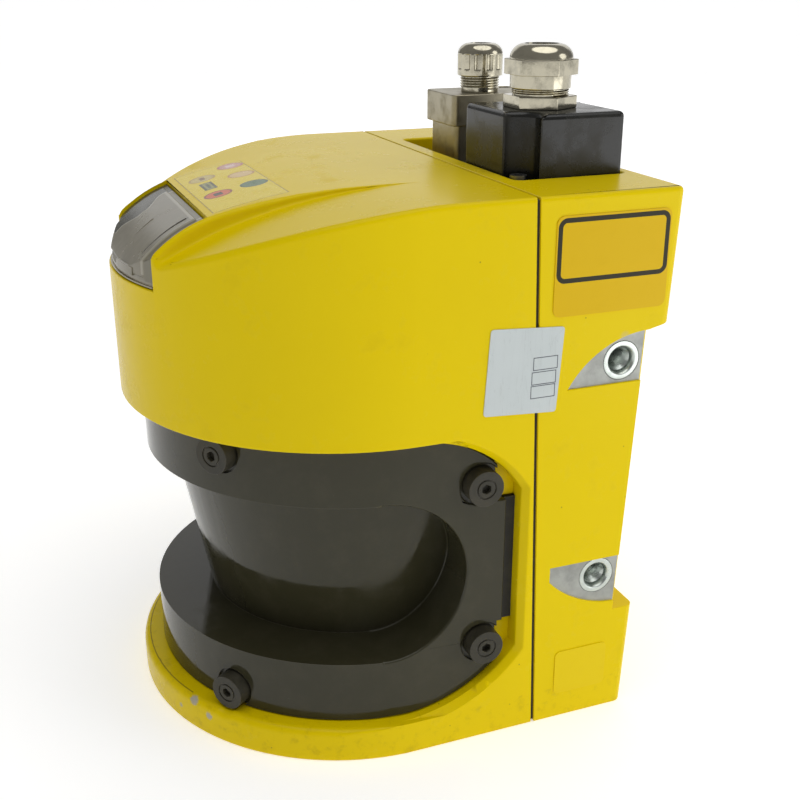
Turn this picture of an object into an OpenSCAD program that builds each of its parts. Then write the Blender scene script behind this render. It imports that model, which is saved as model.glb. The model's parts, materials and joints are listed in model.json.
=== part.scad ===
// Safety laser scanner: a cast two-part housing, a one-piece optics cover with a
// conical scan window, a spinning 45 degree mirror, and two plugs with cable glands.
// The origin lies on the mirror's axis in the face that the scanner stands on.
// +Z is up and the scanner looks along -Y.

/* [Housing] */
// Width of the housing, and twice the radius of its round front
body_w = 155; // [148:1:165]
// Height of the housing without its plugs
body_h = 185; // [182:1:195]
// Distance from the mirror axis forward to the centre of the round front
front_setout = 2.5; // [1.5:0.5:4]
// Wall of both castings
wall = 4; // [3.5:0.5:5]
// Where the joint between the two castings meets the ground, behind the axis
seam_y = 40.6; // [39:0.2:44]
// Lean of that joint, in degrees
seam_lean = 2; // [1:0.1:2.4]
// Thickness of the seal between the castings
seal_t = 1; // [0.6:0.1:1.4]
// Back of the housing at the ground, behind the axis
rear_y = 76.4; // [75:0.2:82]
// Lean of the back, in degrees
rear_lean = 2.6; // [2:0.1:3]
// How far the back is set in between its head and its foot
column_setback = 7.4; // [5:0.2:8]
// Height of the foot at the back
foot_z = 39.5; // [36:0.5:42]
// Height of the housing's head at the back
rear_head_h = 44.6; // [41:0.2:46]
// Radius of the upright edges at the back
corner_r = 3; // [2:0.5:4]

/* [Crown] */
// Radius of the raised crown along its length
crown_r = 200; // [180:5:230]
// Where the crown turns down to the front, behind the nose
crown_turn = 28; // [26:1:30]
// Radius of the turned-down end of the crown
brow_r = 46; // [44:1:50]
// Half width of the crown at the back
crown_half_w = 41.5; // [40:0.5:44]
// Half width of the crown at the front
brow_half_w = 35.5; // [35:0.5:37]
// Radius of the lower shoulders along their length
shoulder_r = 175; // [165:5:190]
// Where the shoulders start to fall, behind the axis
shoulder_y = 12; // [8:1:16]

/* [Scan opening] */
// Top of the base plate, where the cover's lower edge stands
base_t = 12; // [11:0.5:14]
// Underside of the hood, over the cover
hood_z = 112; // [110:0.5:114]
// Back wall of the opening in the side walls
opening_y = 33.3; // [32:0.1:34]
// Radius of the opening's upper rear corner
upper_arc_r = 42; // [40:1:44]
// Radius of the opening's lower rear corner
lower_arc_r = 52; // [50:1:54]
// Floor of the base plate under the optics
floor_t = 5; // [4:0.5:6]

/* [Optics cover] */
// How far the cover lies inside the housing's side faces
cover_inset = 4.7; // [4:0.1:5.5]
// Wall of the cover
cover_t = 3; // [2.5:0.1:3.5]
// Gap and seal between the cover and the housing
cover_gap = 0.5; // [0.4:0.1:0.7]
// Gap between the cover's side plates and the opening's back wall
plate_gap = 3.8; // [3:0.1:4.4]
// Lower edge of the scan slot
slot_low = 34; // [32:0.5:36]
// Height of the scan slot
slot_h = 57; // [54:0.5:58]
// Centre of the slot's round ends, ahead of the axis
slot_end_y = -12.5; // [-14:0.5:-11]
// How far the conical window's foot lies inside the cover's wall
cone_low_in = 16.4; // [14.8:0.2:17.8]
// How far the conical window's head lies inside the cover's wall
cone_top_in = 5.8; // [4.8:0.2:7.8]

/* [Cover screws] */
// Radius of a cover screw's head
head_r = 6.1; // [5.5:0.1:6.4]
// Height of the head
head_h = 5.6; // [4.5:0.1:6.5]
// Radius of the screw's shank
shank_r = 2; // [1.5:0.1:2.4]
// Length of the shank
shank_l = 10; // [8:0.5:11]
// Angle of the front screws from the scanner's nose, in degrees
front_screw_a = 38; // [34:1:42]
// Distance of the front screws from the cover's upper and lower edges
front_screw_in = 6.3; // [6:0.1:7]
// Distance of the upper side screws behind the axis
upper_screw_y = 20.3; // [19.5:0.1:21.5]
// Height of the upper side screws
upper_screw_z = 93.6; // [92.5:0.1:95]
// Distance of the lower side screws behind the axis
lower_screw_y = 22; // [21:0.1:22.5]
// Height of the lower side screws
lower_screw_z = 34.6; // [34:0.1:36]

/* [Display] */
// Half width of the display window
window_half_w = 33.6; // [32:0.2:34]
// Upper edge of the window, behind the nose
window_in = 25.4; // [24:0.2:27]
// Depth of the window's lower edge under the housing's top
window_drop = 28.5; // [27:0.5:30]
// Thickness of the window
window_t = 1.8; // [1.4:0.1:2]
// How deep the window lies under the crown
window_sink = 1.2; // [0.8:0.1:1.2]
// Half width of the status foil
foil_half_w = 32.4; // [30:0.2:33]
// Front edge of the status foil, behind the nose
foil_in = 27.8; // [27:0.2:29]
// Length of the status foil
foil_l = 24; // [18:0.2:28]
// Thickness of the status foil
foil_t = 0.3; // [0.2:0.05:0.4]

/* [Mounting threads] */
// Radius of an M8 mounting thread
thread_r = 4; // [3:0.25:5]
// Depth of a mounting thread
thread_l = 12; // [9:0.5:14]
// Outer radius of the threaded insert
insert_r = 6.4; // [6:0.1:7]
// Upper thread, behind the axis
upper_thread_y = 66.2; // [65:0.1:67]
// Depth of the upper thread under the housing's top
upper_thread_drop = 54; // [53:0.5:55]
// Lower thread, behind the axis
lower_thread_y = 62.6; // [61:0.1:63]
// Height of the lower thread
lower_thread_z = 54; // [53:0.5:54.5]
// Depth of the machined faces round the threads
face_cut = 0.8; // [0.4:0.1:1.2]

/* [Plug bay] */
// Half width of the bay in the top
bay_half_w = 49.5; // [48.5:0.5:52]
// Front edge of the bay, behind the axis
bay_y = 40.6; // [40.2:0.1:41.2]
// Depth of the bay
bay_d = 35; // [32:1:38]
// Wall behind the bay
bay_back = 3; // [2.5:0.5:3.5]
// Gap round a plug in the bay
plug_gap = 0.8; // [0.4:0.1:1]

/* [System plug] */
// Width of the black plug
plug_w = 41; // [38:0.5:42]
// Height of the black plug above the housing
plug_rise = 19.5; // [17:0.5:22]
// Radius of the screw channels in the plug's corners
channel_r = 7; // [6:0.1:7.6]
// Height of the screw channels' floor under the housing's top
channel_drop = 3; // [2:0.5:6]
// Across flats of the large gland
large_af = 21; // [20:0.5:23]
// Bore of the large gland
large_bore_r = 5; // [4:0.5:6]

/* [Metal plug] */
// Width of the metal plug
metal_w = 26; // [24:0.5:28]
// Depth of the metal plug
metal_d = 34; // [30:0.5:35]
// Height of the metal plug above the housing
metal_rise = 20; // [18:0.5:22]
// Distance between the two plugs
plugs_apart = 18; // [16:0.5:20]
// Radius of the small gland's nut
small_nut_r = 8.2; // [7.8:0.1:8.8]
// Bore of the small gland
small_bore_r = 3.2; // [2.5:0.1:3.6]

/* [Optics] */
// Height of the mirror's centre, where the beam leaves
beam_z = 66; // [64:0.5:68]
// Radius of the mirror
mirror_r = 19; // [17:0.5:21]
// Radius of the motor
motor_r = 21; // [19:0.5:23]
// Radius of the motor shaft
shaft_r = 3; // [2.5:0.25:3.5]
// Radius of the receiving lens
lens_r = 21; // [19:0.5:23]

/* [Hidden] */
$fn = 96;

// Overshoot of cuts, and the running clearance of plain holes
over = 1;
fit = 0.05;
far = 2 * body_h;
body_r = body_w / 2;
nose_y = -body_r - front_setout;
head_z = body_h - rear_head_h;
head_slope = 13;

// The joint's plane, the back of the head and foot, and the back of the column between them
function seam(z) = seam_y - z * tan(seam_lean);
function back(z) = rear_y + z * tan(rear_lean);
function column(z) = back(z) - column_setback;

// Crown: its two arcs meet in one tangent line
crown_turn_y = nose_y + crown_turn;
brow_turn = asin(-crown_turn_y / crown_r);
brow_turn_z = body_h - crown_r * (1 - cos(brow_turn));
brow_mid_y = crown_turn_y + brow_r * sin(brow_turn);
brow_mid_z = brow_turn_z - brow_r * cos(brow_turn);
crown_taper_y = nose_y + 74;

// Opening
upper_arc_y = opening_y - 36.3;
upper_arc_z = hood_z - upper_arc_r;
lower_arc_y = opening_y - 41.3;
lower_arc_z = base_t + lower_arc_r;
flare = 2.2;

// Cover
cover_r = body_r - cover_inset;
cover_in_r = cover_r - cover_t;
pocket_half_w = cover_in_r - 12.8;
cover_back_y = opening_y - plate_gap;
slot_r = slot_h / 2;
slot_mid_z = slot_low + slot_r;
slot_top = slot_low + slot_h;
cone_low_r = cover_in_r - cone_low_in;
cone_top_r = cover_in_r - cone_top_in;
cone_slope = (cone_top_r - cone_low_r) / slot_h;
function cone(z) = cone_low_r + (z - slot_low) * cone_slope;

// Cover screws: the seat of their heads and where they stand
seat_x = cover_r - cover_t / 2;
shank_x = seat_x - shank_l;
front_screw_z = [base_t + front_screw_in, hood_z - front_screw_in];
side_screws = [[upper_screw_y, upper_screw_z], [lower_screw_y, lower_screw_z]];
lug_w = 13;
lug_l = 11;
ear_cut = 6.8;

// Display: the window and the foil in the crown, and the board under the window
window_y = nose_y + window_in;
window_z = body_h - window_drop;
window_ledge = 3.5;
window_gap = 0.3;
foil_front_y = nose_y + foil_in;
foil_back_y = foil_front_y + foil_l;
display_y = nose_y + 21;
display_z = body_h - 24;
display_turn = 38;
display_w = 2 * (window_half_w - 11.6);
display_l = 30;
display_front = -13;
display_boss = [display_w / 2 - 8, 14];
display_boss_r = 2.5;
digit_w = 12;
digit_l = 16;
digit_t = 5;
lamp_r = 1.5;
lamp_x = [digit_w / 2 + 5, digit_w / 2 + 11];

// Housing bolts
bolt_r = 2.5;
bolt_head_r = 4.2;
bolt_head_h = 5;
bolt_sink = 6;
bolt_x = body_r - 11.5;
bolt_z = [16, body_h - 20];
bolt_tip_y = seam_y - 12;

upper_thread_z = body_h - upper_thread_drop;
// Machined faces: the middle and radius of their round outline, and where it is cut off in
// front, below and above
machined_faces = [
    [upper_thread_y + 9.8, upper_thread_z - 24, 33.4,
        upper_thread_y - 20.2, upper_thread_z - 7.4, body_h],
    [lower_thread_y + 9.4, lower_thread_z + 26, 37.2,
        lower_thread_y - 18.2, 0, lower_thread_z + 6.5]
];
// Cast-in inserts: a hexagonal body under a round collar, with a lead-in to the thread
insert_l = thread_l + 1.5;
insert_hex_r = insert_r - 0.3;
collar_h = 1.2;
lead_in = 0.8;
lead_in_h = collar_h + 0.2;

// Plates on the right side: front lower corner, width and height, corner radius and turn
plate_t = 0.3;
amber_at = [seam_y - 0.4, body_h - 37];
amber_size = [39.6, 31];
sticker_at = [17.9, body_h - 66.1];
sticker_size = [25, 27.7];
sticker_turn = -3.7;
small_at = [48, 10];
small_size = [20, 17];

// Bay and plugs
bay_z = body_h - bay_d;
bay_corner_r = 2.5;
bay_end_y = back(bay_z) - bay_back;
plug_seal_t = 2;
plug_foot = bay_z + plug_seal_t;
plug_front_y = bay_y + plug_gap;
plug_d = bay_end_y - plug_gap - plug_front_y;
plug_x = bay_half_w - plug_gap - plug_w;
plug_top = body_h + plug_rise;
plug_wall = 3;
plug_corner_r = 2;
channel_x = plug_w - 4.2;
channel_y = 1.8;
channel_z = body_h - channel_drop;
metal_x = plug_x - plugs_apart - metal_w;
metal_y = bay_y + 4.4;
metal_top = body_h + metal_rise;
// Captive screws: two in the black plug's channels, one in the metal plug
plug_screw_r = 1.5;
plug_screw_head_r = 2.8;
plug_screw_head_h = 3.5;
metal_screw_in = 4.2;
metal_screw_sink = 4;
plug_screw_spots = [
    [plug_x + channel_x - 1.3, plug_front_y + channel_y + 1.2, channel_z],
    [plug_x + plug_w - channel_x + 1.3, plug_front_y + plug_d - channel_y - 1.2, channel_z],
    [metal_x + metal_screw_in, metal_y + metal_d - metal_screw_in, metal_top - metal_screw_sink]
];
// Contact blocks under the plugs: middle and half width
sockets = [[plug_x + plug_w / 2, 12], [metal_x + metal_w / 2, 8]];
socket_y = bay_y + 13;
socket_d = 14.4;

// Large gland: its axis, and the heights of its parts above the plug
large_x = plug_x + plug_w / 2;
large_y = plug_front_y + 0.46 * plug_d;
large_stem_r = 6;
large_hex_h = 4;
large_neck_r = 9;
large_neck_h = 14;
large_nut_r = 10;
large_nut_z = 6.1;
large_band_z = 10.4;
large_dome_r = 10.3;
large_dome_z = 15.3;
large_top_z = 20;
// Small gland, likewise
small_x = metal_x + 0.62 * metal_w;
small_y = metal_y + 0.43 * metal_d;
small_stem_r = 5;
small_hex_h = 0.8;
small_neck_r = 6.8;
small_neck_h = 11;
small_nut_z = 5.8;
small_top_z = 17;
gland_sink = plug_wall + 3;
gland_wall = 2;
body_bore_gap = 0.8;
nut_bore_gap = 0.5;
spigot = 0.6;

// Optics, stacked up the mirror's axis
frame_t = 4;
frame_y = opening_y - frame_t;
frame_half_w = pocket_half_w - 3;
frame_low = floor_t + 15;
frame_top = hood_z - 8;
frame_screw_in = 4;
frame_screw_x = frame_half_w - frame_screw_in;
frame_screw_head = [3.6, 2.5];
shelf_t = 4;
motor_z = slot_low - 8;
stator_h = 14;
bearing_r = 8;
bearing_h = 4;
disc_z = motor_z + stator_h + 3;
disc_t = 1;
carrier_z = disc_z + disc_t;
shaft_top = carrier_z + 10;
mirror_t = 3;
shelf_z = slot_top + 3;
tube_wall = 3;
tube_r = lens_r + tube_wall;
tube_low = slot_top - 3;
tube_top = hood_z + wall + 1;
lens_z = tube_low + 3;
lens_t = 5;
lens_sphere_r = 60;
barrel_r = 4.5;
barrel_z = lens_z - 2;
barrel_l = 20;
diode_r = barrel_r - 1.5;
diode_in = 5;
board_t = 1.6;

// Boards
main_board_y = seam_y + 13.4;
main_board_half_w = body_r - 19.5;
main_board_z = [floor_t + 11, bay_z - 16];
board_screw_in = 6;
board_screw_x = main_board_half_w - board_screw_in;
board_screw_r = 1.5;
board_screw_l = 8;
processor_w = 28;
processor_t = 2.4;
monitor_r = cover_in_r - 11.8;
monitor_half_w = 4;
monitor_z = floor_t + 4;
post_a = 50;
post_r = 2.5;
monitor_lamp_a = 60;
monitor_lamp_r = 2;
monitor_lamp_h = 4;

// A flat shape in Y and Z, drawn out along X on both sides of the middle
module along_x(w) {
    rotate([90, 0, 90]) linear_extrude(w, center = true) children();
}

// The same piece on the right and on the left
module on_both_sides() {
    for (side = [0, 1]) mirror([side, 0, 0]) children();
}

// A cylinder that runs outward along X, or back along Y
module rod_x(r, l) {
    rotate([0, 90, 0]) cylinder(r = r, h = l);
}

module rod_y(r, l) {
    rotate([-90, 0, 0]) cylinder(r = r, h = l);
}

// A rectangle from one corner, with rounded corners
module rounded_rect(w, d, r) {
    translate([r, 0]) square([w - 2 * r, d]);
    translate([0, r]) square([w, d - 2 * r]);
    for (x = [r, w - r], y = [r, d - r]) translate([x, y]) circle(r);
}

// A round-fronted outline with straight sides that run back to y_back
module d_outline(r, y_mid, y_back) {
    translate([0, y_mid]) circle(r);
    translate([-r, y_mid]) square([2 * r, y_back - y_mid]);
}

// Everything under the crown's long arc and its turned-down brow
module crown_profile() {
    square([body_r, body_h]);
    intersection() {
        translate([0, body_h - crown_r]) circle(crown_r);
        translate([crown_turn_y, 0]) square([-crown_turn_y, body_h]);
    }
    intersection() {
        translate([brow_mid_y, brow_mid_z]) circle(brow_r);
        translate([crown_turn_y - far, brow_mid_z]) square([far, far]);
    }
    translate([-far, 0]) square([far, brow_mid_z]);
}

// Everything under the shoulders
module shoulder_profile() {
    translate([shoulder_y, 0]) square([body_r, body_h]);
    intersection() {
        translate([shoulder_y, body_h - shoulder_r]) circle(shoulder_r);
        translate([shoulder_y - far, 0]) square([far, far]);
    }
}

// The crown's outline from above, narrower at the brow
module crown_plan(inset) {
    back_w = crown_half_w - inset;
    brow_w = brow_half_w - inset;
    polygon([
        [-back_w, body_r], [-back_w, crown_taper_y], [-brow_w, crown_turn_y], [-brow_w, -body_h],
        [brow_w, -body_h], [brow_w, crown_turn_y], [back_w, crown_taper_y], [back_w, body_r]
    ]);
}

// The hood's form, sunk and narrowed by an even depth
module hood_form(depth) {
    intersection() {
        linear_extrude(far) d_outline(body_r - depth, -front_setout, body_h);
        translate([0, 0, -depth]) union() {
            along_x(far) shoulder_profile();
            intersection() {
                along_x(far) crown_profile();
                linear_extrude(far) crown_plan(depth);
            }
        }
    }
}

// The scan opening seen from the side, shrunk by gap
module opening_profile(gap) {
    intersection() {
        translate([-far, base_t + gap]) square([far + opening_y - gap, hood_z - base_t - 2 * gap]);
        union() {
            translate([upper_arc_y - far, 0]) square([far, body_h]);
            translate([upper_arc_y, upper_arc_z]) circle(upper_arc_r - gap);
            translate([upper_arc_y, 0]) square([far, upper_arc_z + upper_arc_r / 2]);
        }
        union() {
            translate([lower_arc_y - far, 0]) square([far, body_h]);
            translate([lower_arc_y, lower_arc_z]) circle(lower_arc_r - gap);
            translate([lower_arc_y, lower_arc_z - lower_arc_r / 2]) square([far, body_h]);
        }
    }
}

// A cone frustum whose axis runs outward along X, with boxes ahead of it and above or below it
module flared_corner(y, z, r, z_open) {
    translate([-over, y, z]) rotate([0, 90, 0])
        cylinder(r1 = r - over, r2 = r + flare + over, h = flare + 2 * over);
    translate([-over, y - far, -far]) cube([far, far, 2 * far]);
    translate([-over, -far, z_open]) cube([far, 2 * far, far]);
}

// The chamfer round the opening in the right side face
module opening_flare() {
    translate([body_r - flare, 0, 0]) intersection() {
        translate([-over, 0, base_t]) linear_extrude(hood_z - base_t)
            polygon([[0, -far], [flare + 2 * over, -far],
                [flare + 2 * over, opening_y + flare + over], [0, opening_y - over]]);
        mirror([0, 0, 1]) flared_corner(upper_arc_y, -upper_arc_z, upper_arc_r,
            -upper_arc_z - upper_arc_r / 2);
        flared_corner(lower_arc_y, lower_arc_z, lower_arc_r, lower_arc_z - lower_arc_r / 2);
    }
}

// Places children at the cover's front screws, with X outward along each screw
module at_front_screws() {
    for (side = [-1, 1]) rotate([0, 0, side * front_screw_a - 90]) children();
}

// Places children at all cover screws, with X outward along each screw
module at_cover_screws() {
    at_front_screws() for (z = front_screw_z) translate([0, 0, z]) children();
    on_both_sides() for (s = side_screws) translate([0, s[0], s[1]]) children();
}

// Everything ahead of the joint's plane, kept gap clear of it
module front_half(gap) {
    along_x(far) polygon([[-far, -over], [seam(-over) - gap, -over],
        [seam(body_h + over) - gap, body_h + over], [-far, body_h + over]]);
}

// The window's place in the crown
module window_form(gap, depth, thick) {
    w = window_half_w + gap;
    intersection() {
        translate([-w, -far, window_z - gap]) cube([2 * w, far + window_y + gap, far]);
        difference() {
            hood_form(depth);
            hood_form(depth + thick);
        }
    }
}

// The status foil's place in the crown
module foil_form(gap) {
    w = foil_half_w + gap;
    intersection() {
        translate([-w, foil_front_y - gap, hood_z]) cube([2 * w, foil_back_y - foil_front_y + 2 * gap, far]);
        difference() {
            hood_form(0);
            translate([0, 0, -foil_t]) hood_form(0);
        }
    }
}

// Places children in the display board's plane, with Z out through the window
module at_display() {
    translate([0, display_y, display_z]) rotate([display_turn, 0, 0]) children();
}

// Places children at the two bosses that carry the display board
module at_display_bosses() {
    at_display() for (side = [-1, 1]) translate([side * display_boss[0], display_boss[1], 0]) children();
}

module front_housing() {
    lug_h = 2 * front_screw_in + over;
    color("gold") difference() {
        union() {
            difference() {
                intersection() {
                    hood_form(0);
                    front_half(seal_t / 2);
                }
                along_x(far) opening_profile(0);
                on_both_sides() opening_flare();
                translate([-pocket_half_w, 0, floor_t])
                    cube([2 * pocket_half_w, opening_y, hood_z - floor_t]);
                translate([0, 0, floor_t]) linear_extrude(base_t) d_outline(cover_in_r - 4, 0, lug_l);
                intersection() {
                    hood_form(wall);
                    translate([-far, -far, hood_z + wall]) cube(2 * far);
                }
            }
            // lugs behind the cover's screws
            intersection() {
                union() {
                    for (z = [floor_t - over, hood_z - lug_h]) at_front_screws()
                        translate([cover_in_r - lug_l, -lug_w / 2, z])
                            cube([lug_l - 0.35, lug_w, lug_h + over + (z < base_t ? base_t - floor_t : 0)]);
                    for (s = side_screws) on_both_sides()
                        translate([cover_in_r - lug_l, s[0] - 5, s[1] - lug_w / 2])
                            cube([lug_l, opening_y - s[0] + 5 + over, lug_w]);
                }
                translate([-far, -far, over]) cube([2 * far, 2 * far, hood_z]);
            }
            // bosses for the upper housing bolts and the display board, and posts for the window monitor
            intersection() {
                union() {
                    on_both_sides() translate([bolt_x, bolt_tip_y - 5, bolt_z[1]]) rod_y(8.5, far);
                    at_display_bosses() translate([0, 0, board_t / 2]) cylinder(r = display_boss_r, h = 8);
                }
                hood_form(over);
                front_half(seal_t / 2);
            }
            for (a = [-1, 0, 1]) rotate([0, 0, a * post_a - 90])
                translate([monitor_r, 0, floor_t - over])
                    cylinder(r = post_r, h = monitor_z - floor_t + over);
        }
        // opening under the lens tube and behind the optics
        translate([0, 0, hood_z - over]) cylinder(r = 50, h = wall + 2 * over);
        translate([-frame_screw_x + 5, 0, frame_low + 6])
            cube([2 * frame_screw_x - 10, body_r, frame_top - frame_low - 12]);
        // screw and bolt holes
        at_cover_screws() translate([shank_x - over, 0, 0]) rod_x(shank_r + fit, shank_l + 2 * over);
        at_front_screws() translate([seat_x - over, 0, front_screw_z[0]]) rod_x(head_r + 0.9, far);
        on_both_sides() for (z = bolt_z) translate([bolt_x, bolt_tip_y - over, z]) rod_y(bolt_r + fit, far);
        at_frame_screws() rod_y(shank_r + fit, far);
        // window with its aperture, and foil
        window_form(window_gap, 0, window_sink + window_t);
        intersection() {
            translate([window_ledge - window_half_w, -far, window_z + window_ledge])
                cube([2 * (window_half_w - window_ledge), far + window_y - window_ledge, far]);
            difference() {
                hood_form(-over);
                hood_form(wall + over);
            }
        }
        foil_form(fit);
    }
}

// Places children at the optics frame's screws, with Y back along each screw
module at_frame_screws() {
    for (x = [-1, 1], z = [frame_low + frame_screw_in, frame_top - frame_screw_in])
        translate([x * frame_screw_x, frame_y, z]) children();
}

// The back's rounded outline, behind the seam, narrowed by inset
module rear_plan(inset) {
    w = body_r - inset;
    translate([-w, -far]) square([2 * w, far - corner_r]);
    translate([corner_r - w, -far]) square([2 * (w - corner_r), far]);
    for (side = [-1, 1]) translate([side * (w - corner_r), -corner_r]) circle(corner_r);
}

// A leaning block as far back as the head, less setback
module rear_block(setback, inset) {
    translate([0, rear_y - setback, 0]) rotate([-rear_lean, 0, 0])
        translate([0, 0, -body_r]) linear_extrude(far) rear_plan(inset);
}

// Head, column and foot seen from the side
module rear_steps() {
    polygon([[0, -over], [far, -over], [far, foot_z], [column(foot_z) - over, foot_z],
        [column(head_z) - over, head_z - over * tan(head_slope)],
        [far, head_z + (far - column(head_z)) * tan(head_slope)], [far, body_h], [0, body_h]]);
}

// Everything behind the joint's plane up to the housing's top, kept gap clear of it
module rear_half(gap) {
    difference() {
        translate([-far, 0, 0]) cube([2 * far, far, body_h]);
        front_half(-gap);
    }
}

// Places children at the mounting threads, with X outward along each thread
module at_threads() {
    on_both_sides() for (s = [[upper_thread_y, upper_thread_z], [lower_thread_y, lower_thread_z]])
        translate([body_r - face_cut, s[0], s[1]]) children();
}

// A thread insert along X, grown by g
module insert_form(g) {
    translate([-collar_h - g, 0, 0]) rod_x(insert_r + g, collar_h + g);
    translate([-insert_l - g, 0, 0]) rotate([0, 90, 0])
        cylinder(r = insert_hex_r + g, h = insert_l, $fn = 6);
}

// A machined face: a round outline cut off in front and above or below
module machined_face(face) {
    on_both_sides() translate([body_r - face_cut, 0, 0]) rotate([90, 0, 90]) linear_extrude(far)
        intersection() {
            translate([face[0], face[1]]) circle(face[2]);
            translate([face[3], face[4]]) square([far, face[5] - face[4]]);
        }
}

// The bay's outline from above
module bay_plan() {
    translate([-bay_half_w, bay_y]) rounded_rect(2 * bay_half_w, bay_end_y - bay_y, bay_corner_r);
}

module rear_housing() {
    boss_r = insert_r + 3;
    tube_r = bolt_head_r + 2;
    pocket_x = bay_half_w + wall;
    color("gold") difference() {
        union() {
            difference() {
                intersection() {
                    union() {
                        rear_block(column_setback, 0);
                        intersection() {
                            rear_block(0, 0);
                            along_x(far) rear_steps();
                        }
                    }
                    rear_half(seal_t / 2);
                }
                // inside, open to the seam
                intersection() {
                    rear_block(column_setback + wall, wall);
                    translate([-far, 0, floor_t]) cube([2 * far, far, bay_z - wall - floor_t]);
                }
                on_both_sides() intersection() {
                    rear_block(wall, wall);
                    translate([pocket_x, 0, bay_z]) cube([far, far, bay_d - wall]);
                }
            }
            intersection() {
                union() {
                    at_threads() translate([-insert_l - 3, 0, 0]) rod_x(boss_r, far);
                    on_both_sides() translate([bolt_x, 0, bolt_z[1]]) rod_y(tube_r, far);
                    on_both_sides() translate([bolt_x, 0, bolt_z[0]]) rod_y(tube_r, far);
                    at_board_screws() rod_y(4, far);
                }
                rear_block(column_setback + over, over);
                rear_half(seal_t / 2);
            }
            on_both_sides() intersection() {
                translate([bolt_x, 0, bolt_z[1]]) rod_y(tube_r, far);
                rear_block(over, over);
                rear_half(seal_t / 2);
            }
        }
        translate([0, 0, bay_z]) linear_extrude(far) bay_plan();
        for (c = sockets) translate([c[0] - c[1], socket_y, bay_z - wall - over])
            cube([2 * c[1], socket_d, wall + 2 * over]);
        for (s = plug_screw_spots) translate([s[0], s[1], bay_z - wall - over])
            cylinder(r = plug_screw_r + fit, h = far);
        at_threads() {
            insert_form(fit);
            rod_x(insert_r + fit, over);
        }
        for (f = machined_faces) machined_face(f);
        // bolt holes with counterbores from the back
        on_both_sides() for (z = bolt_z) {
            translate([bolt_x, 0, z]) rod_y(bolt_r + fit, far);
            translate([bolt_x, back(z) - bolt_sink, z]) rod_y(bolt_head_r + 0.3, far);
        }
        at_board_screws() translate([0, -over, 0]) rod_y(board_screw_r + fit, board_screw_l + over);
    }
}

// Places children at the main board's screws, at the board's back, with Y backward
module at_board_screws() {
    for (x = [-1, 1], z = [main_board_z[0] + board_screw_in, main_board_z[1] - board_screw_in])
        translate([x * board_screw_x, main_board_y, z]) children();
}

module housing_seal() {
    inset = 0.9;
    color("dimgray") difference() {
        intersection() {
            hood_form(inset);
            translate([-far, 0, inset]) cube([2 * far, far, far]);
            front_half(-seal_t / 2);
        }
        front_half(seal_t / 2);
        intersection() {
            hood_form(wall + 1);
            translate([-far, 0, floor_t + 1]) cube([2 * far, far, bay_z - wall - floor_t - 2]);
        }
        on_both_sides() for (z = bolt_z) translate([bolt_x, 0, z]) rod_y(bolt_r + 0.5, far);
    }
}

module housing_bolts() {
    color("silver") on_both_sides() for (z = bolt_z) {
        head_y = back(z) - bolt_sink;
        difference() {
            union() {
                translate([bolt_x, bolt_tip_y, z]) rod_y(bolt_r, head_y - bolt_tip_y + over);
                translate([bolt_x, head_y, z]) rod_y(bolt_head_r, bolt_head_h);
            }
            translate([bolt_x, head_y + bolt_head_h - 3, z]) rotate([-90, 0, 0])
                cylinder(r = 2.3, h = far, $fn = 6);
        }
    }
}

// The scan slot seen from the side, grown by g
module slot_profile(g) {
    translate([slot_end_y, slot_mid_z]) circle(slot_r + g);
    translate([slot_end_y - far, slot_low - g]) square([far, slot_h + 2 * g]);
}

// The solid inside the window's cone, shrunk by inset
module cone_solid(inset) {
    low = slot_low - cover_t - over;
    top = slot_top + cover_t + over;
    translate([0, 0, low]) cylinder(r1 = cone(low) - inset, r2 = cone(top) - inset, h = top - low);
}

module optics_cover() {
    color("darkslategray") difference() {
        union() {
            intersection() {
                linear_extrude(body_h) difference() {
                    d_outline(cover_r, 0, cover_back_y);
                    d_outline(cover_in_r, 0, far);
                }
                along_x(far) opening_profile(cover_gap);
            }
            difference() {
                intersection() {
                    linear_extrude(body_h) d_outline(cover_in_r + fit, 0, cover_back_y);
                    along_x(far) slot_profile(cover_t);
                }
                cone_solid(cover_t);
            }
        }
        difference() {
            along_x(far) slot_profile(0);
            cone_solid(0);
        }
        at_cover_screws() translate([cover_in_r - 2 * over, 0, 0]) rod_x(shank_r + 0.6, far);
        at_cover_screws() translate([seat_x, 0, 0]) rod_x(head_r + 1.1, far);
        // the plates' rear corners are cut back at the side screws
        on_both_sides() for (s = side_screws)
            translate([cover_in_r - over, s[0] + head_r - 0.4, s[1] - ear_cut]) cube([far, far, 2 * ear_cut]);
    }
}

module cover_seal() {
    color("black") intersection() {
        linear_extrude(body_h) difference() {
            d_outline(seat_x - 0.1, 0, opening_y);
            d_outline(cover_in_r + 0.2, 0, far);
        }
        along_x(far) difference() {
            opening_profile(0);
            intersection() {
                opening_profile(cover_gap);
                translate([-far, 0]) square([far + cover_back_y, body_h]);
            }
            for (s = side_screws) translate([s[0], s[1] - ear_cut]) square([far, 2 * ear_cut]);
        }
    }
}

module cover_screws() {
    color("dimgray") at_cover_screws() difference() {
        union() {
            translate([shank_x, 0, 0]) rod_x(shank_r, shank_l + over);
            translate([seat_x, 0, 0]) rod_x(head_r, head_h);
        }
        translate([seat_x + head_h - 0.5, 0, 0]) difference() {
            rod_x(0.56 * head_r, over);
            rod_x(0.48 * head_r, over);
        }
        translate([seat_x + head_h - 2, 0, 0]) rotate([0, 90, 0]) cylinder(r = 1.7, h = far, $fn = 6);
    }
}

module display_window() {
    color("gray") window_form(0, window_sink, window_t);
}

module status_foil() {
    color("khaki") foil_form(0);
}

module display_board() {
    color("darkgreen") difference() {
        at_display() translate([-display_w / 2, display_front, -board_t / 2])
            cube([display_w, display_l, board_t]);
        at_display_bosses() cylinder(r = display_boss_r / 2, h = 2 * board_t, center = true);
    }
}

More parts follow.
